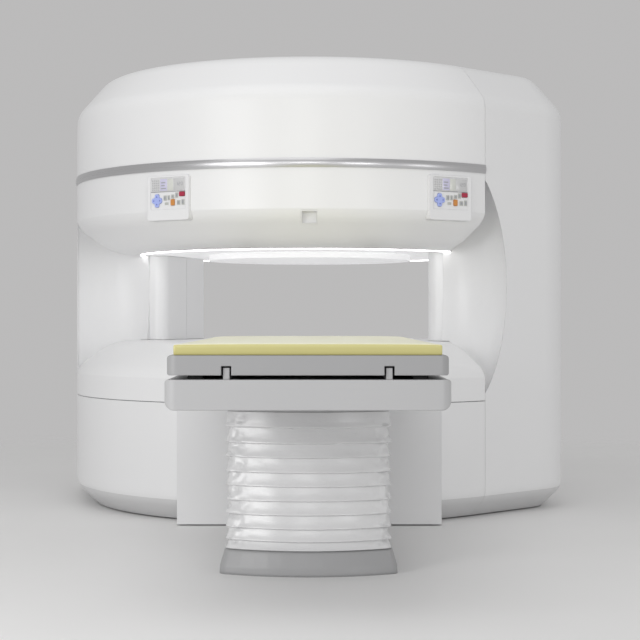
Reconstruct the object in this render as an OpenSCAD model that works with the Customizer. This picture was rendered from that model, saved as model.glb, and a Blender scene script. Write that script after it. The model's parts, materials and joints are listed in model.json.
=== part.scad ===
// Open magnet imaging scanner: two round magnet drums on two pillars, with a lifting patient table.
// Millimetres, +Z up, the table and the front are at -Y, origin on the floor under the magnet axis.

/* [Magnet outline] */
// Radius of the round front and rear covers
drum_r = 1250; // [1150:10:1350]
// Radius of the outer corner of each pillar wing
wing_r = 362; // [330:2:400]
// Half angle of a wing, seen from the magnet axis
wing_half = 27.9; // [26:0.1:29]
// Turn of the pillar line from the X axis, right pillar towards the front
pillar_turn = 19; // [15:1:23]
// Thickness of the plastic covers
cover_t = 8; // [6:1:10]
// Open seam between neighbouring covers
seam_gap = 3; // [2:0.5:5]
// Play between the covers and what stands behind them
frame_play = 0.4; // [0.3:0.1:0.8]

/* [Magnet heights] */
// Height of the lower pole deck
deck_z = 855; // [820:5:890]
// Clear height between the lower and the upper rim
gap_h = 456; // [420:4:500]
// Height of the dome cover, from its seam up to the deck
dome_h = 283; // [270:1:300]
// Height of the bowl cover, from the rim up to the trim band
bowl_h = 384; // [360:2:410]
// Height of the skirt line above the floor
skirt_z = 100; // [80:5:120]
// Set-back of the skirt at the floor
foot_in = 107; // [80:1:130]
// Height of the wall from the upper rim to the shoulder
shoulder_h = 724; // [680:4:760]
// Height from the upper rim to the flat top
top_h = 910; // [880:5:940]
// Width of the sloping shoulder
top_in = 162; // [140:2:180]
// Rounding of the shoulder
shoulder_r = 110; // [80:5:120]

/* [Pole faces] */
// Width of the curved cover outside the rim
rim_in = 334; // [310:2:350]
// Radius of the tight outer curve of dome and bowl
edge_r = 118; // [105:1:130]
// Radius of the flat inner curve of dome and bowl
crown_r = 295; // [280:1:310]
// Radius of the raised upper coil disc
coil_r = 546; // [500:2:600]
// Drop of the upper coil disc below the rim
coil_drop = 29; // [15:1:40]

/* [Pillars] */
// Half width of the straight pillar neck
neck_w = 294; // [280:1:310]
// Distance of the pillar neck from the magnet axis
neck_u = 729; // [715:1:745]
// Rounding of the neck corners
neck_c = 60; // [40:2:80]
// Radius of the hollow beside each pillar at mid height
scoop_r = 317; // [305:1:330]
// Radius of the support post inside each pillar
post_r = 150; // [120:5:160]

/* [Trim and controls] */
// Height of the metal trim band
band_h = 42; // [30:1:50]
// Stand-out of the trim band
band_out = 9; // [6:1:12]
// Angle of each control panel from the front
panel_a = 32.4; // [30:0.2:35]
// Width of a control panel
panel_w = 250; // [230:2:270]
// Height of a control panel
panel_h = 214; // [200:2:220]
// Travel of a control key
key_travel = 2.5; // [2:0.5:4]
// Play around a control key
key_play = 0.8; // [0.5:0.1:1.5]

/* [Front panel] */
// Half width of the flat front panel
front_w = 620; // [580:5:660]
// Set-back of the flat front panel from the drum front
front_in = 65; // [50:1:80]
// Depth of the side walls of the front panel
front_d = 150; // [140:5:180]

/* [Table] */
// Length of the table
table_l = 2175; // [2000:25:2300]
// Width of the table tray
tray_w = 937; // [900:1:960]
// Height of the table tray
tray_h = 100; // [90:2:110]
// Width of the sliding top
slab_w = 920; // [880:2:930]
// Thickness of the sliding top
slab_h = 65; // [60:1:72]
// Gap between tray and sliding top
slab_lift = 14; // [10:1:18]
// Width of the mattress
pad_w = 890; // [850:5:900]
// Thickness of the mattress
pad_h = 36; // [30:1:50]
// Free space between table end and drum front
dock_gap = 12; // [8:1:20]
// Side play of the sliding top in the deck channel
channel_play = 8; // [5:1:12]
// Length of the channel behind the magnet axis
channel_end = 600; // [560:5:640]
// Distance of a guide rail from the table middle
rail_x = 265; // [240:5:290]
// Width of a guide rail
rail_w = 21; // [16:1:24]
// Height of a guide rail
rail_h = 38; // [34:1:40]
// Play around a guide rail
rail_play = 6; // [4:0.5:8]

/* [Lift] */
// Distance of the pedestal front from the magnet axis
pedestal_y = 2645; // [2600:5:2700]
// Length of the pedestal
pedestal_l = 900; // [840:10:960]
// Width of the pedestal foot
plinth_w = 680; // [660:5:700]
// Height of the pedestal foot
plinth_h = 95; // [85:5:105]
// Bow of the pedestal's front and rear
front_bow = 85; // [60:5:100]
// Corner radius of the pedestal
corner_r = 40; // [30:2:60]
// Width of the bellows at the outer pleat edges
bellows_w = 634; // [610:2:644]
// Number of bellows pleats
pleats = 10; // [8:1:12]
// Depth of a bellows pleat
pleat_d = 17; // [12:1:22]
// Width of the outer lift tube
lift_w = 320; // [300:5:340]
// Wall of the lift tubes
lift_t = 12; // [10:1:14]
// Play between the lift tubes
lift_play = 0.8; // [0.5:0.1:1.5]
// Length of each lift tube
lift_l = 235; // [228:1:240]

/* [Hidden] */
$fn = 96;
upper_z = deck_z + gap_h;
seam_z = deck_z - dome_h;
band_z = upper_z + bowl_h;
shoulder_z = upper_z + shoulder_h;
top_z = upper_z + top_h;
rim_r = drum_r - rim_in;
wing_c = (drum_r - wing_r) / cos(wing_half);
wing_l = wing_c * sin(wing_half);
seam_a = asin(seam_gap / 2 / drum_r);
floor_gap = 6;
frame_r = drum_r - cover_t - frame_play;
// wall section: offsets are measured inwards from the outline
foot_r = 90;
foot_a = atan2(foot_in, skirt_z);
foot_c = [-foot_r, skirt_z + foot_r * tan(foot_a / 2)];
slope_a = atan2(top_in, top_z - shoulder_z);
low_c = [-shoulder_r, shoulder_z - shoulder_r * tan(slope_a / 2)];
high_c = [-top_in - shoulder_r * tan((90 - slope_a) / 2), top_z - shoulder_r];
wall_n = 18 - high_c[0];
// straight runs start this share of a radius from the centre of their rounding, so that they cross it cleanly
arc_hold = 0.9995;
// dome and bowl section: heights are measured from the rim plane
edge_c = [drum_r - edge_r + 5, -205];
crown_c = [rim_r + 44, -crown_r];
cap_d = norm(crown_c - edge_c);
cap_a = 360 + atan2(crown_c[1] - edge_c[1], crown_c[0] - edge_c[0]) - acos((edge_r - crown_r) / cap_d);
// pillar hollow
scoop_u = neck_u + 177;
scoop_v = neck_w + 305;
scoop_b = 1190;
scoop_z = deck_z + 270;
neck_end = neck_u + 91;
near_u = neck_u - 229;
far_v = scoop_v + 101;
// magnet inside
cold_r = drum_r - 210;
cold_top = top_z - 121;
lower_top = deck_z - 135;
upper_low = upper_z + 109;
base_z = 130;
foot_h = 40;
lip_r = 16;
// table levels
slab_top = deck_z - 4;
slab_z = slab_top - slab_h;
tray_top = slab_z - slab_lift;
tray_z = tray_top - tray_h;
head_h = 66;
head_z = tray_z - head_h;
table_end = -(drum_r + dock_gap);
table_front = table_end - table_l;
channel_w = slab_w / 2 + channel_play;
channel_z = slab_z - 16;
pedestal_mid = -pedestal_y + pedestal_l / 2;
lift_z = 20;
lift_rise = head_z - lift_z - lift_l;
front_y = -(drum_r - front_in);
panel_top = band_z - band_h / 2 - 22;
panel_y = drum_r + 8;
face_w = 207;
face_h = 152;
face_top = panel_top - 10;
face_dz = face_top - face_h;

function pol(r, a) = [r * cos(a), r * sin(a)];
// quarter of the pedestal outline: bowed end, then a round corner
function bowed(x, w, l) = [x, l - front_bow * pow(x / w, 2)];
function quarter(w, l) =
    let (a = 90 - atan(2 * front_bow / w), p = bowed(w - corner_r * (1 - cos(a)), w, l))
    concat([for (k = [0 : 5]) bowed(p[0] * k / 6, w, l)],
        [for (k = [0 : 5]) p - pol(corner_r, a) + pol(corner_r, a * (1 - k / 5))]);
// whole outline at half width w, half length l and height z
function ring(w, l, z) =
    let (q = quarter(w, l), n = len(q) - 1)
    [for (m = [[1, 1], [-1, 1], [-1, -1], [1, -1]]) for (k = [0 : n])
        if (m[0] * m[1] > 0 || k > 0)
            let (p = q[m[0] * m[1] > 0 ? n - k : k]) [m[0] * p[0], pedestal_mid + m[1] * p[1], z]];

// flat outline of the covers, set in by i
module outline(i) {
    circle(r = drum_r - i);
    for (s = [0, 180])
        rotate(s) {
            translate([wing_c, 0]) circle(r = wing_r - i);
            polygon([[0, 0], pol(drum_r - i, -wing_half), [wing_c, 0] + pol(wing_r - i, -wing_half),
                [wing_c, 0] + pol(wing_r - i, wing_half), pol(drum_r - i, wing_half)]);
        }
}

module pillar_frame() {
    rotate([0, 0, -pillar_turn]) children();
}

// upright wall with skirt and shoulder, set in by i
module wall_solid(i) {
    f = (foot_r - i) * arc_hold;
    s = (shoulder_r - i) * arc_hold;
    polygon([[-wall_n, 0], [-foot_in - i / cos(foot_a), 0], foot_c + pol(f, -foot_a), foot_c + [f, 0],
        low_c + [s, 0], low_c + pol(s, slope_a), high_c + pol(s, slope_a), high_c + [0, s],
        [-wall_n, high_c[1] + s]]);
    translate(foot_c) circle(r = foot_r - i);
    translate(low_c) circle(r = shoulder_r - i);
    translate(high_c) circle(r = shoulder_r - i);
}

module wall_shell(z0, z1) {
    intersection() {
        difference() {
            wall_solid(0);
            wall_solid(cover_t);
        }
        translate([-wall_n, z0]) square([wall_n + 1, z1 - z0]);
    }
}

// dome or bowl, set in by i, with the rim plane at height 0
module cap_solid(i, h) {
    intersection() {
        union() {
            polygon([[rim_r, -h], [drum_r - i, -h], [drum_r - i, edge_c[1]], edge_c + pol(edge_r - i, cap_a),
                crown_c + pol(crown_r - i, cap_a), [crown_c[0], -i], [rim_r, -i]]);
            translate(edge_c) circle(r = edge_r - i);
            translate(crown_c) circle(r = crown_r - i);
        }
        translate([rim_r, -h]) square([drum_r - i - rim_r, h]);
    }
}

module cap_shell(h) {
    difference() {
        cap_solid(0, h);
        cap_solid(cover_t, h);
    }
}

module cap_end(h) {
    intersection() {
        cap_solid(cover_t / 2, h - 2);
        polygon([[rim_r + 2, -4], [rim_r + 2, -30], [drum_r, -h], [drum_r + 1, -h], [drum_r + 1, -4]]);
    }
}

// sweep round the front (s = 180) or the rear (s = 0) between the wings
module sweep(s) {
    rotate([0, 0, s + wing_half + seam_a])
        rotate_extrude(angle = 180 - 2 * wing_half - 2 * seam_a) children();
}

module sweep_ends(s) {
    for (a = [wing_half + seam_a + 0.05, 179.45 - wing_half - seam_a])
        rotate([0, 0, s + a]) rotate_extrude(angle = 0.5) children();
}

module cap_cover(s, h) {
    sweep(s) cap_shell(h);
    sweep_ends(s) cap_end(h);
}

// open space beside the right pillar at any height, grown by o, with margin m at its outer limits
module hollow(o, m) {
    z0 = seam_z - 60 - m;
    h = band_z - seam_z + 120 + 2 * m;
    for (s = [-1, 1])
        translate([scoop_u, s * scoop_v, 0])
            rotate_extrude($fn = 120)
                intersection() {
                    translate([scoop_r - scoop_b, scoop_z]) circle(r = scoop_b + o, $fn = 240);
                    translate([0, z0]) square([scoop_r + 50, h]);
                }
    translate([0, 0, z0])
        linear_extrude(h)
            difference() {
                translate([near_u - m, -far_v - m]) square([neck_end + o - near_u + m, 2 * (far_v + m)]);
                translate([neck_u + neck_c, -neck_w + o]) square([neck_end, 2 * (neck_w - o)]);
                translate([neck_u + o, -neck_w + neck_c]) square([neck_end, 2 * (neck_w - neck_c)]);
                for (s = [-1, 1])
                    translate([neck_u + neck_c, s * (neck_w - neck_c)]) circle(r = neck_c - o);
            }
}

// sector of the right pillar, widened by e degrees on each side
module wedge(e) {
    rotate([0, 0, -wing_half - e]) rotate_extrude(angle = 2 * (wing_half + e)) children();
}

// the part of that space between lower and upper drum
module open_space() {
    far = 250;
    intersection() {
        wedge(3)
            polygon([[near_u + 90, deck_z], [rim_r, deck_z], [drum_r + far, seam_z - dome_h * far / rim_in],
                [drum_r + far, band_z + bowl_h * far / rim_in], [rim_r, upper_z], [near_u + 90, upper_z]]);
        hollow(0, 5);
    }
}

// the same space with the cover thickness round it
module lined_space() {
    far = 240;
    c = 1.4 * cover_t;
    intersection() {
        wedge(0)
            polygon([[near_u + 100, deck_z + 1], [rim_r + 1, deck_z + 1], [rim_r + 1, deck_z - c],
                [drum_r + far, seam_z - dome_h * far / rim_in - c],
                [drum_r + far, band_z + bowl_h * far / rim_in + c], [rim_r + 1, upper_z + c],
                [rim_r + 1, upper_z - 1], [near_u + 100, upper_z - 1]]);
        hollow(cover_t, 0);
    }
}

// body of the right pillar in plan, shrunk by o
module pillar_plan(o) {
    difference() {
        wedge(0) translate([near_u + 100, seam_z - 50]) square([drum_r, band_z - seam_z + 100]);
        hollow(o, 0);
    }
}

module both_pillars(o) {
    pillar_frame()
        for (s = [0, 180])
            rotate([0, 0, s]) pillar_plan(o);
}

module half_wing() {
    intersection() {
        translate([wing_c, 0, 0])
            rotate([0, 0, -wing_half]) {
                rotate_extrude(angle = wing_half + 3) translate([wing_r, 0]) wall_shell(floor_gap, top_z);
                translate([wing_r, 0, 0])
                    rotate([90, 0, 0]) linear_extrude(wing_l) wall_shell(floor_gap, top_z);
            }
        translate([0, -drum_r, -1]) cube([2 * drum_r, drum_r, top_z + 2]);
    }
}

module wing(s) {
    color([0.93, 0.93, 0.93])
        pillar_frame()
            rotate([0, 0, s])
                difference() {
                    union() {
                        half_wing();
                        mirror([0, 1, 0]) half_wing();
                    }
                    open_space();
                }
}

module half_liner() {
    intersection() {
        difference() {
            lined_space();
            open_space();
        }
        translate([0, 0, seam_z - 60]) linear_extrude(band_z - seam_z + 120) outline(cover_t + frame_play);
        translate([near_u, seam_gap / 2, seam_z - 60]) cube([drum_r, drum_r, band_z - seam_z + 120]);
    }
}

module liner(s, t) {
    color([0.9, 0.9, 0.9])
        pillar_frame()
            rotate([0, 0, s])
                if (t > 0) half_liner();
                else mirror([0, 1, 0]) half_liner();
}

module base_frame() {
    color([0.35, 0.37, 0.4])
        translate([0, 0, foot_h])
            linear_extrude(base_z - foot_h) {
                difference() {
                    circle(r = cold_r - 40);
                    circle(r = cold_r - 260);
                }
                for (a = [0, 90]) rotate(a) square([2 * cold_r - 400, 220], center = true);
            }
}

module levelling_feet() {
    color([0.2, 0.2, 0.2]) {
        cylinder(r = 90, h = foot_h);
        for (k = [0 : 5])
            rotate([0, 0, 60 * k + 30]) translate([cold_r - 150, 0, 0]) cylinder(r = 70, h = foot_h);
    }
}

module lower_magnet() {
    color([0.7, 0.72, 0.75])
        translate([0, 0, base_z]) cylinder(r = cold_r, h = lower_top - base_z);
}

module upper_magnet() {
    color([0.7, 0.72, 0.75])
        rotate_extrude()
            polygon([[0, upper_low], [cold_r - 180, upper_low], [cold_r, upper_low + 180], [cold_r, cold_top],
                [0, cold_top]]);
}

module support_posts() {
    color([0.6, 0.62, 0.65])
        pillar_frame()
            for (s = [0, 180])
                rotate([0, 0, s])
                    translate([neck_u + cover_t + post_r + 8, 0, lower_top])
                        cylinder(r = post_r, h = upper_low - lower_top);
}

module lower_coil() {
    color([0.75, 0.6, 0.35])
        translate([0, 0, lower_top]) cylinder(r = neck_u - 30, h = channel_z - cover_t - lower_top);
}

module upper_coil() {
    color([0.75, 0.6, 0.35])
        translate([0, 0, upper_z + cover_t]) cylinder(r = neck_u - 30, h = upper_low - upper_z - cover_t);
}

module cold_head() {
    color([0.55, 0.57, 0.6])
        translate([0, 300, cold_top]) {
            cylinder(r = 110, h = 50);
            cylinder(r = 70, h = 95);
        }
}

module lid_stand() {
    color([0.5, 0.5, 0.5])
        translate([0, 0, cold_top])
            difference() {
                cylinder(r = cold_r - 80, h = top_z - cover_t - cold_top);
                translate([0, 0, -1]) cylinder(r = cold_r - 110, h = top_z);
            }
}

module upper_frame() {
    color([0.5, 0.5, 0.5])
        pillar_frame()
            translate([0, 0, band_z + 45])
                linear_extrude(30)
                    difference() {
                        outline(cover_t + frame_play);
                        circle(r = cold_r);
                    }
}

// the same sweep, clear of the end plates
module sweep_in(s) {
    rotate([0, 0, s + wing_half + 2]) rotate_extrude(angle = 176 - 2 * wing_half) children();
}

module bowl_frame() {
    color([0.5, 0.5, 0.5])
        pillar_frame()
            for (s = [0, 180])
                sweep_in(s)
                    translate([cold_r, band_z - 37]) square([frame_r - cold_r, 30]);
}

module front_cut(c) {
    translate([-front_w - c, front_y - 300, -1]) cube([2 * (front_w + c), 300 + front_d + c, seam_z + 1]);
}

module lower_frame() {
    color([0.5, 0.5, 0.5])
        difference() {
            pillar_frame() {
                translate([0, 0, seam_z - 52])
                    linear_extrude(30)
                        difference() {
                            outline(cover_t + frame_play);
                            circle(r = cold_r);
                        }
                for (s = [0, 180])
                    sweep_in(s)
                        polygon([[cold_r + 20, seam_z - 30], [frame_r - 20, seam_z - 30], [frame_r - 20, seam_z - 10],
                            [frame_r, seam_z - 10], [frame_r, seam_z + 58], [cold_r + 20, seam_z + 58]]);
            }
            front_cut(frame_play);
        }
}

module upper_cover(s) {
    color([0.95, 0.95, 0.95])
        pillar_frame()
            sweep(s)
                translate([drum_r, 0]) wall_shell(band_z + seam_gap / 2, top_z);
}

module bowl_cover(s) {
    pillar_frame()
        translate([0, 0, upper_z])
            mirror([0, 0, 1]) cap_cover(s, bowl_h - seam_gap / 2);
}

module dome_cover(s) {
    pillar_frame()
        translate([0, 0, deck_z]) cap_cover(s, dome_h);
}

module lower_wall(s) {
    pillar_frame()
        sweep(s)
            translate([drum_r, 0]) wall_shell(floor_gap, seam_z - seam_gap);
}

module upper_front_cover() {
    upper_cover(180);
}

module upper_rear_cover() {
    upper_cover(0);
}

module plate2(w, h, r) {
    square([w - 2 * r, h], center = true);
    square([w, h - 2 * r], center = true);
    for (x = [-1, 1])
        for (y = [-1, 1])
            translate([x * (w / 2 - r), y * (h / 2 - r)]) circle(r = r);
}

// places a control panel; its face lies in the plane y = 0, facing -Y
module panel_place(s) {
    rotate([0, 0, s * panel_a]) translate([0, -panel_y, 0]) children();
}

module panel_block() {
    translate([0, 60, panel_top - panel_h / 2]) rotate([90, 0, 0]) linear_extrude(60) plate2(panel_w, panel_h, 14);
}

module key_at(x, z) {
    translate([x - face_w / 2, 0, face_dz + z]) rotate([90, 0, 0]) children();
}

module stop_shape(c) {
    plate2(32 + 2 * c, 21 + 2 * c, 4);
}

module start_shape(c) {
    plate2(22 + 2 * c, 29 + 2 * c, 4);
}

module move_shape(c) {
    circle(r = 21 + c);
    plate2(58 + 2 * c, 24 + 2 * c, 8);
    plate2(24 + 2 * c, 62 + 2 * c, 8);
}

module cup_box(c) {
    translate([-40 - c, -drum_r - 20, upper_z + 101 - c]) cube([80 + 2 * c, 150, 64 + 2 * c]);
}

module bowl_front_cover() {
    color([0.93, 0.93, 0.93])
        difference() {
            bowl_cover(180);
            for (s = [-1, 1])
                panel_place(s) panel_block();
            cup_box(0);
        }
}

module bowl_rear_cover() {
    color([0.93, 0.93, 0.93]) bowl_cover(0);
}

module sensor_cup() {
    color([0.6, 0.6, 0.6])
        difference() {
            intersection() {
                cup_box(0);
                translate([0, 0, upper_z]) mirror([0, 0, 1]) rotate_extrude() cap_solid(0, bowl_h);
            }
            translate([-34, -drum_r - 20, upper_z + 107]) cube([68, 80, 52]);
        }
}

module channel_box(c, z) {
    translate([-channel_w - c, -drum_r - 20, z]) cube([2 * (channel_w + c), drum_r + 20 + channel_end + c, 400]);
}

module dome_front_cover() {
    color([0.93, 0.93, 0.93])
        difference() {
            dome_cover(180);
            channel_box(cover_t + seam_gap, channel_z - cover_t - seam_gap);
        }
}

module dome_rear_cover() {
    color([0.93, 0.93, 0.93]) dome_cover(0);
}

module lower_front_wall() {
    color([0.93, 0.93, 0.93])
        difference() {
            lower_wall(180);
            front_cut(seam_gap);
        }
}

module lower_rear_wall() {
    color([0.93, 0.93, 0.93]) lower_wall(0);
}

module right_wing() {
    wing(0);
}

module left_wing() {
    wing(180);
}

module right_liner_front() {
    liner(0, -1);
}

module right_liner_rear() {
    liner(0, 1);
}

module left_liner_front() {
    liner(180, 1);
}

module left_liner_rear() {
    liner(180, -1);
}

module top_lid() {
    color([0.95, 0.95, 0.95])
        pillar_frame()
            translate([0, 0, top_z - cover_t]) linear_extrude(cover_t) outline(wall_n + seam_gap);
}

module band_section() {
    intersection() {
        translate([drum_r - 43, band_z]) circle(r = 43 + band_out);
        translate([drum_r, band_z - band_h / 2]) square([band_out + 1, band_h]);
    }
}

module trim_band_front() {
    color([0.72, 0.72, 0.74]) pillar_frame() sweep(180) band_section();
}

module trim_band_rear() {
    color([0.72, 0.72, 0.74]) pillar_frame() sweep(0) band_section();
}

module upper_pole_cover() {
    color([0.97, 0.97, 0.97])
        difference() {
            union() {
                translate([0, 0, upper_z]) cylinder(r = rim_r - lip_r, h = cover_t);
                translate([0, 0, upper_z - coil_drop]) cylinder(r = coil_r, h = coil_drop);
            }
            both_pillars(-seam_gap);
        }
}

module rim_light() {
    color([1, 1, 1])
        difference() {
            translate([0, 0, upper_z - 4]) cylinder(r = rim_r - seam_gap, h = cover_t + 4);
            translate([0, 0, upper_z - 5]) cylinder(r = rim_r - lip_r, h = cover_t + 10);
            both_pillars(-seam_gap);
        }
}

module pole_deck() {
    color([0.93, 0.93, 0.93])
        difference() {
            union() {
                translate([0, 0, deck_z - cover_t]) cylinder(r = rim_r - seam_gap, h = cover_t, $fn = 180);
                intersection() {
                    translate([-channel_w - cover_t, -drum_r - 20, channel_z - cover_t])
                        cube([2 * (channel_w + cover_t), drum_r + 20 + channel_end + cover_t,
                            deck_z - channel_z + cover_t]);
                    translate([0, 0, deck_z])
                        rotate_extrude($fn = 180) {
                            cap_solid(0, dome_h);
                            translate([0, -dome_h]) square([rim_r, dome_h]);
                        }
                }
            }
            channel_box(0, channel_z);
            both_pillars(-seam_gap);
        }
}

module channel_strips() {
    color([0.3, 0.3, 0.3])
        for (x = [-1, 1])
            translate([x * (channel_w - 90) - 30, -drum_r + 120, channel_z])
                cube([60, drum_r - 120 + channel_end - 20, slab_z - channel_z]);
}

module front_panel() {
    color([0.9, 0.9, 0.9])
        difference() {
            translate([-front_w, front_y, floor_gap]) cube([2 * front_w, front_d, seam_z - seam_gap - floor_gap]);
            translate([-front_w + 20, front_y + 20, -1]) cube([2 * front_w - 40, front_d, seam_z]);
        }
}

module control(s) {
    color([0.9, 0.9, 0.91])
        panel_place(s)
            difference() {
                panel_block();
                translate([0, 0, face_dz + face_h / 2])
                    rotate([90, 0, 0]) translate([0, 0, -3]) linear_extrude(10) plate2(face_w, face_h, 8);
                translate([0, 24, 0]) {
                    key_at(187, 71) linear_extrude(40) stop_shape(key_play);
                    key_at(132, 33) linear_extrude(40) start_shape(key_play);
                    key_at(38, 43) linear_extrude(40) move_shape(key_play);
                }
            }
}

module left_control() {
    control(-1);
}

module right_control() {
    control(1);
}

module key_block(s, x, z) {
    panel_place(s) translate([0, 24 - key_travel - 1, 0]) key_at(x, z) linear_extrude(22) children();
}

module left_stop_key() {
    color([0.7, 0.1, 0.2]) key_block(-1, 187, 71) stop_shape(0);
}

module right_stop_key() {
    color([0.7, 0.1, 0.2]) key_block(1, 187, 71) stop_shape(0);
}

module left_move_pad() {
    color([0.6, 0.65, 0.95]) key_block(-1, 38, 43) move_shape(0);
}

module right_move_pad() {
    color([0.6, 0.65, 0.95]) key_block(1, 38, 43) move_shape(0);
}

module left_start_key() {
    color([0.85, 0.5, 0.2]) key_block(-1, 132, 33) start_shape(0);
}

module right_start_key() {
    color([0.85, 0.5, 0.2]) key_block(1, 132, 33) start_shape(0);
}

module floor_duct() {
    color([0.6, 0.6, 0.6])
        difference() {
            translate([-230, -pedestal_y + pedestal_l - front_bow, 0])
                cube([460, pedestal_y - pedestal_l + front_bow + front_y - frame_play, 30]);
            translate([0, 0, -1]) plinth_body(frame_play + 2);
        }
}

// stacked rings of points joined to one closed skin
module skin(rings) {
    s = len(rings[0]);
    m = len(rings);
    pts = [for (r = rings) for (p = r) p];
    sides = [for (j = [0 : m - 2]) for (k = [0 : s - 1])
        [j * s + k, j * s + (k + 1) % s, (j + 1) * s + (k + 1) % s, (j + 1) * s + k]];
    polyhedron(points = pts, faces = concat([for (f = sides) [f[3], f[2], f[1], f[0]]],
        [[for (k = [0 : s - 1]) k]], [[for (k = [0 : s - 1]) m * s - 1 - k]]), convexity = 6);
}

module plinth_body(c) {
    skin([for (e = [[0, 0], [2, 30], [18, plinth_h - 8], [24, plinth_h]])
        ring(plinth_w / 2 - e[0] + c, pedestal_l / 2 - e[0] + c, e[1])]);
}

module plinth() {
    color([0.6, 0.61, 0.62])
        difference() {
            plinth_body(0);
            translate([-lift_w / 2 - 4, pedestal_mid - lift_w / 2 - 4, lift_z])
                cube([lift_w + 8, lift_w + 8, plinth_h]);
        }
}

module lift_tube(w, z, floor_h) {
    translate([-w / 2, pedestal_mid - w / 2, z])
        difference() {
            cube([w, w, lift_l]);
            translate([lift_t, lift_t, floor_h]) cube([w - 2 * lift_t, w - 2 * lift_t, lift_l + 1]);
        }
}

module lift_outer() {
    color([0.5, 0.52, 0.55]) lift_tube(lift_w, lift_z, -1);
}

module lift_middle() {
    color([0.6, 0.62, 0.65])
        lift_tube(lift_w - 2 * (lift_t + lift_play), lift_z + 8 + lift_rise / 2, -1);
}

module lift_inner() {
    color([0.7, 0.72, 0.75])
        lift_tube(lift_w - 4 * (lift_t + lift_play), lift_z + lift_rise, -1);
}

module lift_head() {
    color([0.3, 0.3, 0.32])
        translate([0, 0, head_z])
            linear_extrude(head_h)
                polygon([for (p = ring(bellows_w / 2 - 10, pedestal_l / 2 - 24, 0)) [p[0], p[1]]]);
}

module bellows() {
    w = bellows_w / 2;
    l = pedestal_l / 2 - 14;
    h = (head_z - plinth_h) / pleats;
    color([0.94, 0.94, 0.94])
        difference() {
            skin([for (k = [0 : pleats - 1]) for (e = [0, 0.16, 0.3])
                ring(w - (e == 0.16 ? 0 : e == 0 ? 6 : pleat_d), l - (e == 0.16 ? 0 : e == 0 ? 6 : pleat_d),
                    plinth_h + (k + e) * h),
                ring(w - 4, l - 4, plinth_h + pleats * h)]);
            translate([-w + 60, pedestal_mid - l + 110, plinth_h - 1])
                cube([2 * w - 120, 2 * l - 220, pleats * h + 2]);
        }
}

// bar along the table with rounded long edges and rounded corners in plan
module table_bar(w, h, z, y0, y1, r_low, r_top, r_plan) {
    intersection() {
        translate([0, y1, z])
            rotate([90, 0, 0])
                linear_extrude(y1 - y0) {
                    translate([-w / 2, r_low]) square([w, h - r_low - r_top]);
                    translate([-w / 2 + r_low, 0]) square([w - 2 * r_low, h]);
                    translate([-w / 2 + r_top, h / 2]) square([w - 2 * r_top, h / 2]);
                    for (x = [-1, 1]) {
                        translate([x * (w / 2 - r_low), r_low]) circle(r = r_low);
                        translate([x * (w / 2 - r_top), h - r_top]) circle(r = r_top);
                    }
                }
        translate([0, (y0 + y1) / 2, z - 1]) linear_extrude(h + 2) plate2(w, y1 - y0, r_plan);
    }
}

module table_tray() {
    color([0.9, 0.9, 0.9])
        difference() {
            table_bar(tray_w, tray_h, tray_z, table_front, table_end, 34, 14, 40);
            translate([-tray_w / 2 + 60, pedestal_mid + pedestal_l / 2 - 40, tray_z - 1])
                cube([tray_w - 120, table_end - pedestal_mid - pedestal_l / 2 - 20, tray_h - 14]);
            translate([-tray_w / 2 + 60, table_front + 60, tray_z - 1])
                cube([tray_w - 120, pedestal_mid - pedestal_l / 2 - table_front - 20, tray_h - 14]);
        }
}

module guide_rails() {
    color([0.88, 0.88, 0.88])
        for (x = [-rail_x, rail_x])
            translate([x - rail_w / 2, table_front + 12, tray_top]) cube([rail_w, table_l - 24, rail_h]);
}

module bearer_strips() {
    color([0.1, 0.1, 0.1])
        for (x = [-1, 1])
            translate([x * (slab_w / 2 - 90) - 25, table_front + 60, tray_top]) cube([50, table_l - 120, slab_lift]);
}

module slide_motor() {
    color([0.25, 0.25, 0.27])
        translate([-150, table_end - 250, tray_top - 15 - 38 - frame_play])
            rotate([0, 90, 0]) cylinder(r = 38, h = 300);
}

module table_slab() {
    color([0.8, 0.8, 0.8])
        difference() {
            table_bar(slab_w, slab_h, slab_z, table_front, table_end, 10, 14, 34);
            for (x = [-rail_x, rail_x])
                translate([x - rail_w / 2 - rail_play, table_front - 1, slab_z - 1])
                    cube([rail_w + 2 * rail_play, table_l + 2, 1 + rail_h - slab_lift + rail_play]);
        }
}

module table_pad() {
    color([0.93, 0.91, 0.68])
        table_bar(pad_w, pad_h, slab_top, table_front + 12, table_end - 40, 8, 10, 20);
}

base_frame();
levelling_feet();
lower_magnet();
upper_magnet();
support_posts();
lower_coil();
upper_coil();
cold_head();
lid_stand();
upper_frame();
bowl_frame();
lower_frame();
upper_front_cover();
upper_rear_cover();
bowl_front_cover();
bowl_rear_cover();
dome_front_cover();
dome_rear_cover();
lower_front_wall();
lower_rear_wall();
right_wing();
left_wing();
right_liner_front();
right_liner_rear();
left_liner_front();
left_liner_rear();
top_lid();
trim_band_front();
trim_band_rear();
upper_pole_cover();
rim_light();
pole_deck();
channel_strips();
front_panel();
sensor_cup();
left_control();
right_control();
left_stop_key();
right_stop_key();
left_move_pad();
right_move_pad();
left_start_key();
right_start_key();
floor_duct();
plinth();
lift_outer();
lift_middle();
lift_inner();
lift_head();
bellows();
table_tray();
guide_rails();
bearer_strips();
slide_motor();
table_slab();
table_pad();
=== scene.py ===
"""Looks of the open magnet scanner and its lifting table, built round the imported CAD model."""

import json
import math

import bpy
from mathutils import Matrix, Vector, noise


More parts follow.
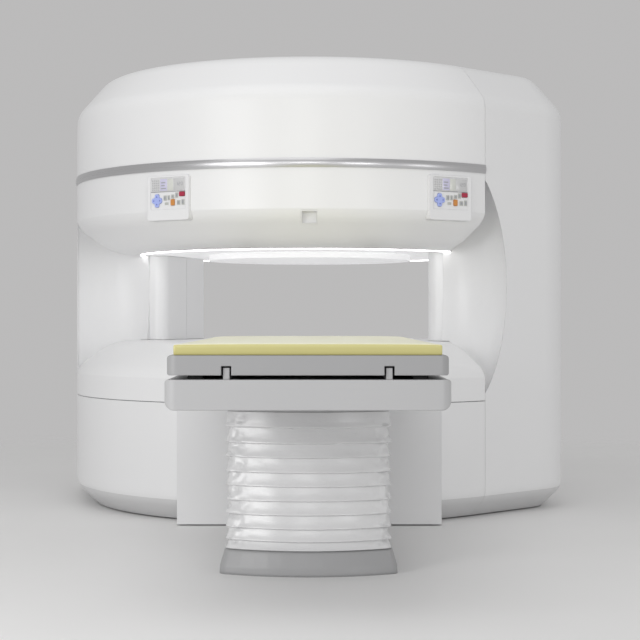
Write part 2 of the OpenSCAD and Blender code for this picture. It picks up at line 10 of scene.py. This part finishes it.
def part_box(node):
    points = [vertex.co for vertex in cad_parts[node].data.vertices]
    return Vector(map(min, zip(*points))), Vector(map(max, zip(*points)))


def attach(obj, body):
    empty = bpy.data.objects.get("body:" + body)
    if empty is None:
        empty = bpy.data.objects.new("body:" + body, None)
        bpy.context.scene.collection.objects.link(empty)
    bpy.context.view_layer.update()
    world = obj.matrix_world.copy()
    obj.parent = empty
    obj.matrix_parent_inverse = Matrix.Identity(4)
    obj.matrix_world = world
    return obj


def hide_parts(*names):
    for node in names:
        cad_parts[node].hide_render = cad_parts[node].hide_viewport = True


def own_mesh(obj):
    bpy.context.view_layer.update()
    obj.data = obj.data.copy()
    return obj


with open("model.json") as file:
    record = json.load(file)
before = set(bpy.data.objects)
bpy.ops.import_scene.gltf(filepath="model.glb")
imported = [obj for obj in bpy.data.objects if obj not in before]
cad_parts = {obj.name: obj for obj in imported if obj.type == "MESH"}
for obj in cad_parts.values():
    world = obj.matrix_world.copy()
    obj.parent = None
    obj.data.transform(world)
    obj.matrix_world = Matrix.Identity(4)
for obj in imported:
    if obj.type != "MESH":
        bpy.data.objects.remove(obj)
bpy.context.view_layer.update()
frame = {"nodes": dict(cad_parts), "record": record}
nodes = frame["nodes"]


# finishes


class Value:
    """A socket of a finish. Sums and products of values are written as on numbers."""

    def __init__(self, finish, socket):
        self.finish = finish
        self.socket = socket

    def math(self, operation, first, second=0.0):
        return self.finish.add("ShaderNodeMath", {"operation": operation}, {0: first, 1: second})

    def __add__(self, other):
        return self.math("ADD", self, other)

    __radd__ = __add__

    def __mul__(self, other):
        return self.math("MULTIPLY", self, other)

    __rmul__ = __mul__

    def __sub__(self, other):
        return self.math("SUBTRACT", self, other)

    def __rsub__(self, other):
        return self.math("SUBTRACT", other, self)

    def __lt__(self, other):
        return self.math("LESS_THAN", self, other)

    def __abs__(self):
        return self.math("ABSOLUTE", self)

    def output(self, name):
        return Value(self.finish, self.socket.node.outputs[name])


class Finish:
    """One material, built node by node round a Principled shader."""

    def __init__(self, name, **constants):
        self.material = bpy.data.materials.new(name)
        self.material.use_nodes = True
        self.nodes = self.material.node_tree.nodes
        self.links = self.material.node_tree.links
        self.nodes.clear()
        self.shader = self.nodes.new("ShaderNodeBsdfPrincipled")
        self.end = self.nodes.new("ShaderNodeOutputMaterial")
        self.links.new(self.shader.outputs["BSDF"], self.end.inputs["Surface"])
        for socket, value in constants.items():
            self.feed(socket.replace("_", " ").title().replace("Ior", "IOR"), value)

    def add(self, kind, settings=None, sockets=None, output=0):
        node = self.nodes.new(kind)
        for key, value in (settings or {}).items():
            setattr(node, key, value)
        for key, value in (sockets or {}).items():
            self.plug(node.inputs[key], value)
        return Value(self, node.outputs[output])

    def plug(self, socket, value):
        if isinstance(value, Value):
            self.links.new(value.socket, socket)
        elif socket.type == "RGBA" and len(value) == 3:
            socket.default_value = (*value, 1)
        else:
            socket.default_value = value

    def feed(self, name, value):
        self.plug(self.shader.inputs[name], value)

    def place(self, scale=(1, 1, 1)):
        here = self.add("ShaderNodeTexCoord", output="Object")
        return self.add("ShaderNodeMapping", None, {"Vector": here, "Scale": scale})

    def grain(self, scale, detail=3.0, stretch=(1, 1, 1), rough=0.5):
        return self.add("ShaderNodeTexNoise", None,
                        {"Vector": self.place(stretch), "Scale": scale, "Detail": detail, "Roughness": rough})

    def blend(self, factor, low, high):
        return self.add("ShaderNodeMix", {"data_type": "RGBA"}, {0: factor, 6: low, 7: high}, 2)

    def relief(self, height, strength, depth, edge=0.0):
        sockets = {"Height": height, "Strength": strength, "Distance": depth}
        if edge:
            sockets["Normal"] = self.add("ShaderNodeBevel", {"samples": 4}, {"Radius": edge})
        self.feed("Normal", self.add("ShaderNodeBump", None, sockets))


def shade(colour, share):
    return tuple(c * share for c in colour)


def moulded_cover(name, colour, rough=0.34, edge=0.004, painted_shade_height=0.0):
    """Sprayed moulding: faint clouds, fine orange peel, soft edges, and, where a height is given, painted
    shade that makes it greyer below that height.
    """
    finish = Finish(name, coat_weight=0.12, coat_roughness=0.18, specular_ior_level=0.42)
    cloud = finish.grain(1.3, 2.0)
    peel = finish.grain(260.0, 2.0)
    paint = finish.blend(cloud, shade(colour, 0.975), shade(colour, 1.015))
    if painted_shade_height:
        here = finish.add("ShaderNodeSeparateXYZ", None, {0: finish.place()})
        panel = (abs(here.output("X")) < PANEL_HALF) * (here.output("Y") < PANEL_REACH)
        # painted shade: the drum's foot below the given height is darkened as if in shade
        painted_shade_foot = (here.output("Z") < painted_shade_height) * (1 - panel)
        paint = finish.blend(painted_shade_foot, paint, shade(colour, PAINTED_SHADE_SHARE))
    finish.feed("Base Color", paint)
    finish.feed("Roughness", rough + 0.1 * (cloud - 0.5) + 0.05 * (peel - 0.5))
    finish.relief(peel, 0.05, 0.0006, edge)
    return finish.material


def brushed_metal(name, colour, stretch, rough=0.3):
    """Metal with fine lines along one direction."""
    finish = Finish(name, metallic=1.0)
    lines = finish.grain(1.0, 4.0, stretch, 0.65)
    finish.feed("Base Color", finish.blend(lines, shade(colour, 0.86), shade(colour, 1.08)))
    finish.feed("Roughness", rough + 0.18 * (lines - 0.5))
    finish.relief(lines, 0.06, 0.0005, 0.002)
    return finish.material


def painted_metal(name, colour, rough=0.42, edge=0.003):
    """Powder paint with a fine leather-like surface."""
    finish = Finish(name, specular_ior_level=0.45)
    speck = finish.grain(420.0, 2.0)
    cloud = finish.grain(4.0, 3.0)
    finish.feed("Base Color", finish.blend(cloud, shade(colour, 0.94), shade(colour, 1.04)))
    finish.feed("Roughness", rough + 0.12 * (speck - 0.5))
    finish.relief(speck, 0.12, 0.0006, edge)
    return finish.material


def matte_plastic(name, colour, rough=0.5, edge=0.0015):
    """Fine-sparked plastic, as on keypads and strips."""
    finish = Finish(name)
    spark = finish.grain(900.0, 1.0)
    finish.feed("Base Color", finish.blend(spark, shade(colour, 0.93), shade(colour, 1.05)))
    finish.feed("Roughness", rough + 0.15 * (spark - 0.5))
    finish.relief(spark, 0.1, 0.0003, edge)
    return finish.material


def key_plastic(name, colour):
    """Glossy key cap."""
    finish = Finish(name, coat_weight=0.4, coat_roughness=0.1)
    spark = finish.grain(500.0, 1.0)
    finish.feed("Base Color", finish.blend(spark, shade(colour, 0.94), shade(colour, 1.04)))
    finish.feed("Roughness", 0.28 + 0.08 * (spark - 0.5))
    finish.relief(spark, 0.04, 0.0003, 0.002)
    return finish.material


def lamp_and_painted_glow(name, colour, strength):
    """Milky cover that glows evenly: a lamp on the light strip, a painted glow on the pole cover, which is no
    lamp.
    """
    finish = Finish(name, roughness=0.5, emission_strength=strength)
    cloud = finish.grain(6.0, 1.0)
    finish.feed("Base Color", finish.blend(cloud, shade(colour, 0.97), colour))
    finish.feed("Emission Color", finish.blend(cloud, shade(colour, 0.94), colour))
    return finish.material


def coated_fabric(name, colour):
    """Glossy coated cloth of the bellows: weave, creases and faint patches."""
    finish = Finish(name, coat_weight=0.35, coat_roughness=0.2, specular_ior_level=0.5)
    weave = finish.grain(700.0, 1.0)
    crease = finish.grain(16.0, 5.0, (1, 1, 2.4), 0.62)
    patch = finish.grain(5.0, 2.0)
    finish.feed("Base Color", finish.blend(patch, shade(colour, 0.95), shade(colour, 1.02)))
    finish.feed("Roughness", 0.3 + 0.16 * (crease - 0.5) + 0.06 * (weave - 0.5))
    finish.relief(crease + 0.05 * weave, 0.2, 0.004)
    return finish.material


def pad_vinyl(name, side, top):
    """Soft vinyl cover of the mattress with a leather-like grain; its up-facing top is painted paler and its
    border darker, a painted highlight from light falling from above and painted shade on the sides.
    """
    finish = Finish(name, coat_weight=0.35, coat_roughness=0.2)
    grain = finish.add("ShaderNodeTexVoronoi", None, {"Vector": finish.place(), "Scale": 420.0})
    cloud = finish.grain(3.0, 2.0)
    facing = finish.add("ShaderNodeNewGeometry", output="Normal")
    upward = finish.add("ShaderNodeSeparateXYZ", None, {0: facing}, 2)
    # painted light: faces that look up get the pale top colour, as if lit from above; the rest keeps the
    # darker, shaded border colour
    painted_top_light = finish.add("ShaderNodeMapRange", {"interpolation_type": "SMOOTHSTEP"},
                       {0: upward, 1: 0.6, 2: 0.95})
    shaded_border = finish.blend(cloud, shade(side, 0.97), shade(side, 1.02))
    finish.feed("Base Color", finish.blend(painted_top_light, shaded_border, top))
    finish.feed("Roughness", 0.34 + 0.1 * (cloud - 0.5))
    finish.relief(grain, 0.12, 0.0007)
    return finish.material


def screen_glass(name, colour):
    """Smooth window of a small display."""
    finish = Finish(name, coat_weight=0.6, coat_roughness=0.05)
    cloud = finish.grain(45.0, 2.0)
    finish.feed("Base Color", finish.blend(cloud, shade(colour, 0.92), shade(colour, 1.05)))
    finish.feed("Roughness", 0.16 + 0.06 * cloud)
    return finish.material


# the painted shade along the foot runs round the drum, not over the flat front panel
PANEL_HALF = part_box("front_panel")[1].x + 0.0005
PANEL_REACH = -0.9
PAINTED_SHADE_HEIGHT = 0.108
PAINTED_SHADE_SHARE = 0.80
COVER = (0.86, 0.86, 0.865)
WALL = (0.84, 0.84, 0.845)
finishes = {
    "cover_white": moulded_cover("cover_white", COVER),
    "wall_white": moulded_cover("wall_white", WALL, 0.36, painted_shade_height=PAINTED_SHADE_HEIGHT),
    "band_silver": brushed_metal("band_silver", (0.66, 0.66, 0.67), (0.6, 0.6, 900.0)),
    # painted glow: the pole cover is no lamp, its emission stands for the light spread from the rim strip
    "pole_white": lamp_and_painted_glow("pole_white", (0.88, 0.88, 0.885), 0.34),
    "light": lamp_and_painted_glow("light", (1.0, 1.0, 1.0), 4.5),
    "control_grey": moulded_cover("control_grey", (0.84, 0.84, 0.85), 0.38, 0.005),
    "key_red": key_plastic("key_red", (0.42, 0.02, 0.06)),
    "key_blue": key_plastic("key_blue", (0.42, 0.50, 0.92)),
    "key_orange": key_plastic("key_orange", (0.66, 0.27, 0.06)),
    "steel": painted_metal("steel", (0.22, 0.23, 0.25)),
    "magnet_steel": brushed_metal("magnet_steel", (0.6, 0.61, 0.63), (3.0, 3.0, 400.0), 0.38),
    "coil_resin": painted_metal("coil_resin", (0.52, 0.36, 0.14), 0.35),
    "dark_rubber": matte_plastic("dark_rubber", (0.022, 0.022, 0.023), 0.65, 0.002),
    "plinth_grey": painted_metal("plinth_grey", (0.36, 0.36, 0.365), 0.36, 0.02),
    "bellows_vinyl": coated_fabric("bellows_vinyl", (0.72, 0.72, 0.725)),
    "tray_white": moulded_cover("tray_white", (0.48, 0.48, 0.485), 0.34, 0.006),
    "slab_grey": moulded_cover("slab_grey", (0.36, 0.36, 0.365), 0.4, 0.006),
    # mattress colours: a border with painted shade and a top with a painted highlight, lit and shaded copies
    # of one yellow
    "pad_yellow": pad_vinyl("pad_yellow", (0.60, 0.55, 0.22), (0.95, 0.93, 0.64)),
}
for subpart in frame["record"]["subparts"]:
    skin = nodes[subpart["node"]]
    skin.data.materials.clear()
    skin.data.materials.append(finishes[subpart["material_slot"]])


# modelling helpers


def start_clean():
    if bpy.context.object and bpy.context.object.mode != "OBJECT":
        bpy.ops.object.mode_set(mode="OBJECT")
    bpy.ops.object.select_all(action="DESELECT")


def soften(piece, width, segments, angle=None):
    """Bevels the edges of the active piece, those sharper than the angle if one is given."""
    edge = piece.modifiers.new("edge", "BEVEL")
    edge.width = width
    edge.segments = segments
    if angle:
        edge.limit_method = "ANGLE"
        edge.angle_limit = math.radians(angle)
    bpy.ops.object.modifier_apply(modifier=edge.name)


def finish_piece(piece, name, body, slot, replaced=None, angle=40):
    """Puts the piece's place into its mesh, smooths it, dresses it and lets it ride."""
    if bpy.context.object.mode != "OBJECT":
        bpy.ops.object.mode_set(mode="OBJECT")
    piece.name = name
    piece.data.name = name
    bpy.ops.object.transform_apply(location=True, rotation=True, scale=True)
    bpy.ops.object.shade_smooth_by_angle(angle=math.radians(angle))
    if not piece.data.materials:
        piece.data.materials.append(finishes[slot])
    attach(piece, body)
    if replaced:
        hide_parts(replaced)
    return piece


# bellows

BELLOWS_LOW, BELLOWS_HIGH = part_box("bellows")
BELLOWS_MID = (BELLOWS_LOW + BELLOWS_HIGH) / 2
BELLOWS_HALF = ((BELLOWS_HIGH - BELLOWS_LOW) / 2)[:2]
# the cloth reaches this far up round the lift head
BELLOWS_CUFF = 0.012
BELLOWS_RISE = BELLOWS_HIGH.z - BELLOWS_LOW.z + BELLOWS_CUFF
RING_POINTS = 320
FRONT_BOW = 0.085
CORNER_ROUND = 0.040
BOW_STEPS = 40
CORNER_STEPS = 12
# the top pleat is drawn less far in than the others
TOP_PLEAT_SHARE = 0.55
# pleat heights from the floor up: the lowest lie nearly flat
PLEATS = (0.62, 0.90, 0.98, 1.00, 1.04, 0.98, 1.08, 1.02, 1.15, 1.15)
# height share in a pleat and set-back from its outer edge: widest at the lower edge, like shingles
PLEAT_FORM = ((0.03, 0.0022), (0.055, 0.0002), (0.09, 0.0004), (0.16, 0.0018), (0.28, 0.0042), (0.42, 0.0066),
              (0.58, 0.0088), (0.74, 0.0106), (0.88, 0.0120), (0.97, 0.0132))


def pedestal_quarter(half, count):
    """Evenly spaced points from the middle of the bowed end to the middle of the straight side."""
    w, l = half
    lean = math.pi / 2 - math.atan(2 * FRONT_BOW / w)
    reach = w - CORNER_ROUND * (1 - math.cos(lean))
    spread = [reach * k / BOW_STEPS for k in range(BOW_STEPS + 1)]
    line = [(x, l - FRONT_BOW * (x / w) ** 2) for x in spread]
    middle = (line[-1][0] - CORNER_ROUND * math.cos(lean), line[-1][1] - CORNER_ROUND * math.sin(lean))
    for k in range(1, CORNER_STEPS + 1):
        angle = lean * (1 - k / CORNER_STEPS)
        line.append((middle[0] + CORNER_ROUND * math.cos(angle), middle[1] + CORNER_ROUND * math.sin(angle)))
    line.append((w, 0.0))
    steps = [math.dist(a, b) for a, b in zip(line, line[1:])]
    points = []
    for number in range(count):
        rest = sum(steps) * number / count
        place = 0
        while rest > steps[place]:
            rest -= steps[place]
            place += 1
        share = rest / steps[place]
        points.append(tuple(a + (b - a) * share for a, b in zip(line[place], line[place + 1])))
    return points


def make_bellows():
    start_clean()
    bpy.ops.mesh.primitive_circle_add(vertices=RING_POINTS, radius=1.0,
                                      location=(*BELLOWS_MID[:2], BELLOWS_LOW.z))
    piece = bpy.context.object
    quarter = pedestal_quarter(BELLOWS_HALF, RING_POINTS // 4)
    side = quarter + [(BELLOWS_HALF[0], 0.0)] + [(x, -y) for x, y in reversed(quarter)][:-1]
    outline = side + [(-x, -y) for x, y in side]
    for point, (x, y) in zip(piece.data.vertices, outline):
        point.co.x, point.co.y = x, y
    bpy.ops.object.mode_set(mode="EDIT")
    bpy.ops.mesh.select_all(action="SELECT")
    unit = BELLOWS_RISE / sum(PLEATS)
    inset = height = base = 0.0
    for number, pleat in enumerate(PLEATS):
        for share, back in PLEAT_FORM:
            if number == len(PLEATS) - 1:
                back *= TOP_PLEAT_SHARE
            rise = base + share * pleat * unit - height
            height += rise
            ratio = [(h - back) / (h - inset) for h in BELLOWS_HALF]
            inset = back
            bpy.ops.mesh.extrude_region_move(TRANSFORM_OT_translate={"value": (0, 0, rise)})
            bpy.ops.transform.resize(value=(*ratio, 1), center_override=(*BELLOWS_MID[:2], 0))
        base += pleat * unit
    bpy.ops.object.mode_set(mode="OBJECT")
    crumple(piece, base)
    return finish_piece(piece, "bellows_skin", "magnet", "bellows_vinyl", "bellows", 50)


def crumple(piece, height):
    """Moves the cloth as it lies: calm on the front, crushed at the corners, no pleat like the next."""
    w, l = BELLOWS_HALF
    for point in piece.data.vertices:
        x, y, z = point.co
        corner = math.exp(-(math.dist((abs(x), abs(y)), (w, l - FRONT_BOW)) / 0.06) ** 2)
        wave = noise.noise(Vector((x * 3.1, y * 3.1, z * 8)))
        fold = noise.noise(Vector((x * 13 + z * 16, y * 13 - z * 12, z * 9)))
        crush = noise.noise(Vector((x * 42, y * 42, z * 60 + 3.0)))
        away = Vector((x / w, y / l, 0)).normalized()
        lift = 0.0016 * wave + 0.0010 * fold + corner * (0.017 * crush + 0.005 * fold)
        ends = max(min(z / 0.01, (height - z) / 0.04, 1), 0)
        point.co += away * (min(lift, 0.003) - 0.002) * ends
        point.co.z += (0.0020 * wave * (1 - 0.5 * corner) + 0.003 * corner * crush) * ends


bellows = make_bellows()
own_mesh(bellows)


# mattress

PAD_LOW, PAD_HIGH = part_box("table_pad")
PAD_SWELL = 0.004
PAD_GRID = (60, 144)
PAD_LAYERS = 3
PAD_CROWN = 0.003
END_DRAW = 0.007
SIDE_DRAW = 0.004
CLOTH_FRAMES = 20


def make_mattress():
    """Foam pad in a sewn cover: a plain box, blown up a little as cloth, drawn in at its ends."""
    start_clean()
    size = PAD_HIGH - PAD_LOW
    middle = (PAD_LOW + PAD_HIGH) / 2
    bpy.ops.mesh.primitive_grid_add(x_subdivisions=PAD_GRID[0], y_subdivisions=PAD_GRID[1], size=1.0,
                                    location=(middle.x, middle.y, PAD_LOW.z))
    piece = bpy.context.object
    piece.scale = (size.x - 2 * PAD_SWELL, size.y - 2 * PAD_SWELL, 1)
    bpy.ops.object.transform_apply(location=True, rotation=True, scale=True)
    bpy.ops.object.mode_set(mode="EDIT")
    bpy.ops.mesh.select_all(action="SELECT")
    layer = (size.z - PAD_SWELL / 2) / PAD_LAYERS
    for step in range(PAD_LAYERS):
        bpy.ops.mesh.extrude_region_move(TRANSFORM_OT_translate={"value": (0, 0, layer)})
    bpy.ops.mesh.select_all(action="SELECT")
    bpy.ops.mesh.normals_make_consistent(inside=False)
    bpy.ops.object.mode_set(mode="OBJECT")
    sewn = [point.co.copy() for point in piece.data.vertices]
    blow_up(piece)
    settle(piece, sewn, size, middle)
    soften(piece, 0.005, 3, 50)
    return finish_piece(piece, "mattress", "table_top", "pad_yellow", "table_pad")


def blow_up(piece):
    """Cloth under a light inner pressure, stepped and applied."""
    cloth = piece.modifiers.new("cover", "CLOTH")
    cloth.settings.mass = 0.004
    cloth.settings.use_pressure = True
    cloth.settings.uniform_pressure_force = 4.0
    cloth.settings.effector_weights.gravity = 0.0
    cloth.point_cache.frame_start = 1
    cloth.point_cache.frame_end = CLOTH_FRAMES
    scene = bpy.context.scene
    for step in range(1, CLOTH_FRAMES + 1):
        scene.frame_set(step)
    bpy.ops.object.modifier_apply(modifier=cloth.name)
    scene.frame_set(1)


def settle(piece, sewn, size, middle):
    """Caps how far the cloth went, keeps the underside flat and draws the ends in between the corners."""
    for point, start in zip(piece.data.vertices, sewn):
        move = point.co - start
        if move.length > PAD_SWELL:
            move *= PAD_SWELL / move.length
        across = (start.x - middle.x) / (size.x / 2)
        along = (start.y - middle.y) / (size.y / 2)
        level = (start.z - PAD_LOW.z) / size.z
        crown = max(1 - across ** 4, 0)
        point.co = start + move
        point.co.y -= END_DRAW * max(1 - across ** 2, 0) * along ** 5
        point.co.x -= SIDE_DRAW * max(1 - along ** 2, 0) * across ** 5
        point.co.z = max(point.co.z + PAD_CROWN * crown * level, PAD_LOW.z)


mattress = make_mattress()


# shelf that closes the front panel's box at the top

SHELF_WALL = 0.0205
SHELF_SINK = 0.002
SHELF_THICK = 0.008


def make_shelf():
    start_clean()
    low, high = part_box("front_panel")
    left, front = low.x + SHELF_WALL, low.y + SHELF_WALL
    right, back = high.x - SHELF_WALL, high.y - 0.001
    top = high.z - SHELF_SINK
    bpy.ops.mesh.primitive_cube_add(
        size=1.0, location=((left + right) / 2, (front + back) / 2, top - SHELF_THICK / 2))
    shelf = bpy.context.object
    shelf.scale = (right - left, back - front, SHELF_THICK)
    bpy.ops.object.transform_apply(location=True, rotation=True, scale=True)
    soften(shelf, 0.002, 3)
    finish_piece(shelf, "panel_shelf", "magnet", "wall_white")


make_shelf()


# control faces

PANEL_TURN = math.radians(32.4)
PANEL_OUT = 1.258
FACE_SIZE = (0.207, 0.152)
FACE_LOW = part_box("left_control")[1].z - 0.010 - FACE_SIZE[1]
FIELD_DEPTH = 0.003
CAP_SINK = 0.0002


def add_cap(low, high, height, finish, soft=0.0007):
    """A small raised field of the control face, between two corners in mm from its lower left corner."""
    start_clean()
    size = [(b - a) / 1000 for a, b in zip(low, high)]
    middle = [(a + b) / 2000 for a, b in zip(low, high)]
    front = -PANEL_OUT + FIELD_DEPTH - height
    back = -PANEL_OUT + FIELD_DEPTH + CAP_SINK
    bpy.ops.mesh.primitive_cube_add(
        size=1.0, location=(middle[0] - FACE_SIZE[0] / 2, (front + back) / 2, FACE_LOW + middle[1]))
    cap = bpy.context.object
    cap.scale = (size[0], back - front, size[1])
    bpy.ops.object.transform_apply(location=True, rotation=True, scale=True)
    soften(cap, soft, 2)
    cap.data.materials.append(finish)
    return cap


def join_pieces(parts):
    start_clean()
    for part in parts:
        part.select_set(True)
    bpy.context.view_layer.objects.active = parts[0]
    bpy.ops.object.join()
    return bpy.context.object


# seven bars of a display digit: which bars are lit for the digits used
DIGIT_BARS = {"1": "bc", "2": "abged", "0": "abcdef"}
BAR_PLACES = {"a": (1, 15, 7, 16.5), "b": (7.5, 8.5, 9, 15), "c": (7.5, 1.5, 9, 8), "d": (1, 0, 7, 1.5),
              "e": (-1, 1.5, 0.5, 8), "f": (-1, 8.5, 0.5, 15), "g": (1, 7.5, 7, 9)}
# lower left and upper right corners of the plain keys, in mm
KEY_CORNERS = (((77, 43), (95, 67)), ((101, 44), (115, 67)), ((123, 52), (141, 70)), ((147, 54), (164, 79)),
               ((85, 22), (106, 34)), ((157, 20), (177, 42)), ((184, 20), (201, 46)))
# middle of the move pad from the face's lower left corner
MOVE_PAD = (0.038, 0.043)
ARROW_REACH = 0.018
ARROW_OUT = 0.0015


def make_keypad(side, turn):
    """Display fields, plain bars, three digits and plain keys, joined into one piece."""
    parts = [add_cap((4, 87), (203, 148), 0.0012, key_screen["field"]),
             add_cap((56, 90), (98, 146), 0.0018, key_screen["lilac"]),
             add_cap((100, 90), (134, 146), 0.0018, key_screen["pale"]),
             add_cap((136, 90), (200, 146), 0.0018, key_screen["grey"]),
             add_cap((1.5, 83.5), (205.5, 86), 0.0016, key_screen["line"], 0.0004)]
    for column in range(4):
        for row in range(5):
            x, z = 8 + 11.5 * column, 91 + 11 * row
            parts.append(add_cap((x, z), (x + 8, z + 7), 0.0022, key_screen["dots"], 0.0005))
    for row, width in enumerate((30, 22, 26)):
        low, high = (62, 98 + 14 * row), (62 + width, 103 + 14 * row)
        parts.append(add_cap(low, high, 0.0020, key_screen["mark"], 0.0001))
    for number, digit in enumerate("120"):
        for bar in DIGIT_BARS[digit]:
            a, b, c, d = BAR_PLACES[bar]
            x = 152 + 15 * number
            parts.append(add_cap((x + a, 112 + b), (x + c, 112 + d), 0.0020, key_screen["digit"], 0.0001))
    for low, high in KEY_CORNERS:
        parts.append(add_cap(low, high, 0.0026, key_screen["key"], 0.0012))
        inner_low = (low[0] + 4, low[1] + 5)
        inner_high = (high[0] - 4, high[1] - 5)
        if inner_high[1] - inner_low[1] > 4:
            parts.append(add_cap(inner_low, inner_high, 0.0029, key_screen["mark"], 0.0001))
    piece = join_pieces(parts)
    piece.rotation_euler = (0, 0, turn)
    finish_piece(piece, f"{side}_keypad", "magnet", "control_grey", angle=30)


def make_pad_arrows(side, turn):
    """Plain arrow heads on the arms of the four-way move pad."""
    front = -PANEL_OUT - ARROW_OUT
    parts = []
    for number in range(4):
        start_clean()
        angle = number * math.pi / 2
        x = MOVE_PAD[0] - FACE_SIZE[0] / 2 + ARROW_REACH * math.cos(angle)
        z = FACE_LOW + MOVE_PAD[1] + ARROW_REACH * math.sin(angle)
        bpy.ops.mesh.primitive_cylinder_add(vertices=3, radius=0.006, depth=0.0008)
        arrow = bpy.context.object
        arrow.matrix_world = (Matrix.Translation((x, front, z)) @ Matrix.Rotation(-angle, 4, "Y")
                              @ Matrix.Rotation(math.pi / 2, 4, "Y") @ Matrix.Rotation(math.pi / 2, 4, "X"))
        bpy.ops.object.transform_apply(location=True, rotation=True, scale=True)
        soften(arrow, 0.0003, 2)
        arrow.data.materials.append(key_screen["arrow"])
        parts.append(arrow)
    piece = join_pieces(parts)
    piece.rotation_euler = (0, 0, turn)
    finish_piece(piece, f"{side}_pad_arrows", f"{side}_move", "key_blue", angle=30)


key_screen = {
    "field": matte_plastic("keypad_field", (0.70, 0.70, 0.71), 0.35),
    "lilac": screen_glass("screen_lilac", (0.66, 0.64, 0.82)),
    "pale": screen_glass("screen_pale", (0.70, 0.71, 0.67)),
    "grey": screen_glass("screen_grey", (0.62, 0.62, 0.625)),
    "line": matte_plastic("keypad_line", (0.30, 0.30, 0.31), 0.4),
    "dots": matte_plastic("keypad_dots", (0.55, 0.55, 0.56), 0.4),
    "mark": matte_plastic("keypad_mark", (0.36, 0.37, 0.40), 0.4),
    "digit": matte_plastic("keypad_digit", (0.20, 0.20, 0.24), 0.4),
    "key": matte_plastic("keypad_key", (0.52, 0.53, 0.50), 0.45),
    "arrow": matte_plastic("keypad_arrow", (0.16, 0.20, 0.55), 0.4),
}
for side, direction in (("left", -1), ("right", 1)):
    make_keypad(side, direction * PANEL_TURN)
    make_pad_arrows(side, direction * PANEL_TURN)


# stage, lights and camera

ROOM_LIGHT = 0.56
BACKDROP = (0.50, 0.495, 0.495, 1)
IMAGE_SIZE = 640.0
FOCAL_PIXELS = 1562.0
SENSOR_WIDTH = 36.0
CENTRE_SHIFT = (7.5, -1.6)
CAMERA_PLACE = (0.015, -8.5, 0.971)


def make_floor():
    start_clean()
    bpy.ops.mesh.primitive_circle_add(vertices=96, radius=14.0, fill_type="NGON", location=(0, -1.2, 0))
    floor = bpy.context.object
    floor.name = "floor"
    finish = Finish("floor_pale", specular_ior_level=0.25)
    here = finish.add("ShaderNodeTexCoord", output="Object")
    reach = finish.add("ShaderNodeVectorMath", {"operation": "LENGTH"}, {0: here}, 1)
    far = finish.add("ShaderNodeMapRange", {"interpolation_type": "SMOOTHSTEP"},
                     {0: reach, 1: 3.4, 2: 6.5, 3: 0.0, 4: 1.0})
    cloud = finish.grain(1.2, 2.0)
    finish.feed("Base Color", finish.blend(cloud, (0.82, 0.815, 0.81), (0.86, 0.855, 0.85)))
    finish.feed("Roughness", 0.42 + 0.1 * cloud)
    clear = finish.nodes.new("ShaderNodeBsdfTransparent")
    mix = finish.nodes.new("ShaderNodeMixShader")
    finish.links.new(far.socket, mix.inputs[0])
    finish.links.new(finish.shader.outputs[0], mix.inputs[1])
    finish.links.new(clear.outputs[0], mix.inputs[2])
    finish.links.new(mix.outputs[0], finish.end.inputs[0])
    floor.data.materials.append(finish.material)


def make_world():
    world = bpy.data.worlds.new("studio")
    bpy.context.scene.world = world
    world.use_nodes = True
    tree = world.node_tree
    tree.nodes.clear()
    path = tree.nodes.new("ShaderNodeLightPath")
    room = tree.nodes.new("ShaderNodeBackground")
    room.inputs[0].default_value = (1, 1, 1, 1)
    room.inputs[1].default_value = ROOM_LIGHT
    seen = tree.nodes.new("ShaderNodeBackground")
    seen.inputs[0].default_value = BACKDROP
    seen.inputs[1].default_value = 1.0
    mix = tree.nodes.new("ShaderNodeMixShader")
    end = tree.nodes.new("ShaderNodeOutputWorld")
    total = None
    for kind in ("Is Camera Ray", "Is Glossy Ray", "Is Transmission Ray"):
        plus = tree.nodes.new("ShaderNodeMath")
        plus.use_clamp = True
        tree.links.new(path.outputs[kind], plus.inputs[0])
        plus.inputs[1].default_value = 0.0
        if total:
            tree.links.new(total, plus.inputs[1])
        total = plus.outputs[0]
    tree.links.new(total, mix.inputs[0])
    tree.links.new(room.outputs[0], mix.inputs[1])
    tree.links.new(seen.outputs[0], mix.inputs[2])
    tree.links.new(mix.outputs[0], end.inputs[0])


def add_softbox(name, place, target, size, power):
    lamp = bpy.data.lights.new(name, "AREA")
    lamp.shape = "RECTANGLE"
    lamp.size, lamp.size_y = size
    lamp.energy = power
    box = bpy.data.objects.new(name, lamp)
    bpy.context.scene.collection.objects.link(box)
    box.location = place
    box.rotation_euler = (Vector(target) - Vector(place)).to_track_quat("-Z", "Y").to_euler()


def make_camera():
    """The photograph's view: level, 8.5 m in front of the magnet axis."""
    lens = bpy.data.cameras.new("camera")
    lens.sensor_width = SENSOR_WIDTH
    lens.lens = FOCAL_PIXELS * SENSOR_WIDTH / IMAGE_SIZE
    lens.shift_x, lens.shift_y = (shift / IMAGE_SIZE for shift in CENTRE_SHIFT)
    lens.clip_end = 100
    camera = bpy.data.objects.new("camera", lens)
    bpy.context.scene.collection.objects.link(camera)
    camera.location = CAMERA_PLACE
    camera.rotation_euler = (math.pi / 2, 0, 0)
    bpy.context.scene.camera = camera


make_floor()
make_world()
add_softbox("ceiling_box", (-0.8, -3.4, 5.4), (0, -1.2, 0.8), (4.5, 4.0), 46)
add_softbox("left_box", (-5.2, -7.4, 2.4), (0, -1.0, 1.2), (3.2, 2.6), 56)
add_softbox("table_box", (-2.7, -5.7, 1.4), (0, -3.0, 0.4), (1.6, 1.2), 32)
add_softbox("front_box", (-0.4, -10.0, 2.4), (0, -1.2, 1.4), (2.4, 1.6), 40)
add_softbox("right_box", (3.4, -8.6, 1.4), (0, 0, 1.1), (2.0, 1.4), 36)
add_softbox("side_box", (4.4, -4.0, 1.4), (0.6, -1.6, 0.6), (1.2, 1.2), 9)
make_camera()
bpy.context.scene.view_settings.view_transform = "Standard"

bpy.context.view_layer.update()
